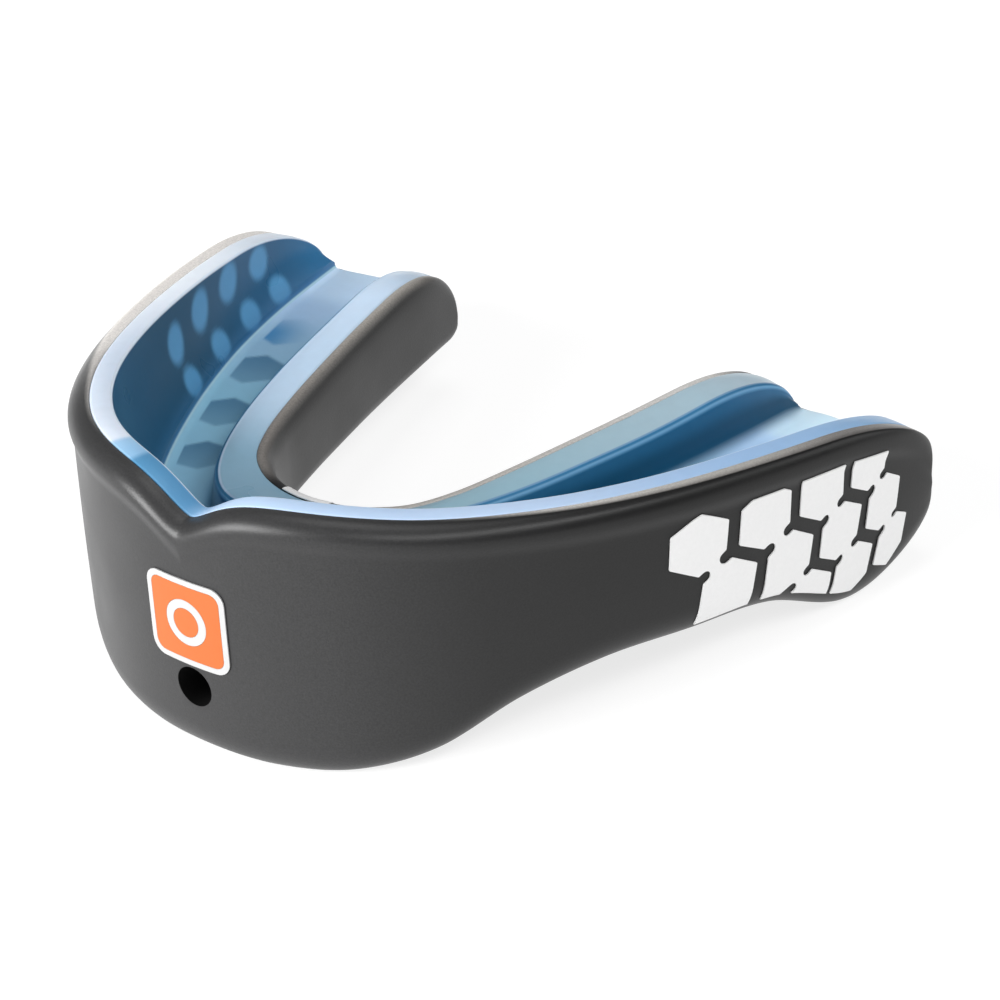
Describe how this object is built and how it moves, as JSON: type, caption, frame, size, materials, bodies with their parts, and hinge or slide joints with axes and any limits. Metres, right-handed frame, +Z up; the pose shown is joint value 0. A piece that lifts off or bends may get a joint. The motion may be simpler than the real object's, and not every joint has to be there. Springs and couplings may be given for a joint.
{
  "type": "mouthguard",
  "caption": "U-shaped boxing mouthguard with a rubber outer guard, gel-lined bite channel, inner pads, raised side print, front badge and a tether hole.",
  "frame": {"origin": "centre of the bounding box's bottom face, on the surface that the guard stands on", "axes": "+X to the wearer's left across the guard (its widest direction), +Y from the front teeth towards the throat, +Z up, from the lower teeth to the upper gum"},
  "size_m": [0.0604, 0.0476, 0.0198],
  "materials": {
    "guard_rubber": "satin moulded rubber with a fine speckled grain",
    "liner_gel": "translucent blue boil-and-bite gel, semi-gloss",
    "core_resin": "translucent grey-teal moulded resin",
    "pad_rubber": "matt dark blue soft rubber",
    "oval_gel": "soft light blue gel",
    "white_print": "satin white moulded film",
    "badge_orange": "satin orange moulded film"
  },
  "bodies": {
    "root": {"shock_guard": "guard_rubber", "gel_liner": "liner_gel", "support_core": "core_resin", "bite_pad_right_1": "pad_rubber", "bite_pad_right_2": "pad_rubber", "bite_pad_right_3": "pad_rubber", "bite_pad_right_4": "pad_rubber", "bite_pad_left_1": "pad_rubber", "bite_pad_left_2": "pad_rubber", "bite_pad_left_3": "pad_rubber", "bite_pad_left_4": "pad_rubber", "wall_pad_upper_right_1": "oval_gel", "wall_pad_upper_right_2": "oval_gel", "wall_pad_upper_right_3": "oval_gel", "wall_pad_upper_right_4": "oval_gel", "wall_pad_upper_left_1": "oval_gel", "wall_pad_upper_left_2": "oval_gel", "wall_pad_upper_left_3": "oval_gel", "wall_pad_upper_left_4": "oval_gel", "wall_pad_lower_right_1": "oval_gel", "wall_pad_lower_right_2": "oval_gel", "wall_pad_lower_right_3": "oval_gel", "wall_pad_lower_right_4": "oval_gel", "wall_pad_lower_left_1": "oval_gel", "wall_pad_lower_left_2": "oval_gel", "wall_pad_lower_left_3": "oval_gel", "wall_pad_lower_left_4": "oval_gel", "tread_right_1": "white_print", "tread_right_2": "white_print", "tread_right_3": "white_print", "tread_right_4": "white_print", "tread_left_1": "white_print", "tread_left_2": "white_print", "tread_left_3": "white_print", "tread_left_4": "white_print", "badge_border": "white_print", "badge_face": "badge_orange", "badge_ring": "white_print", "badge_centre": "badge_orange", "lip_insert": "white_print"}
  },
  "joints": []
}
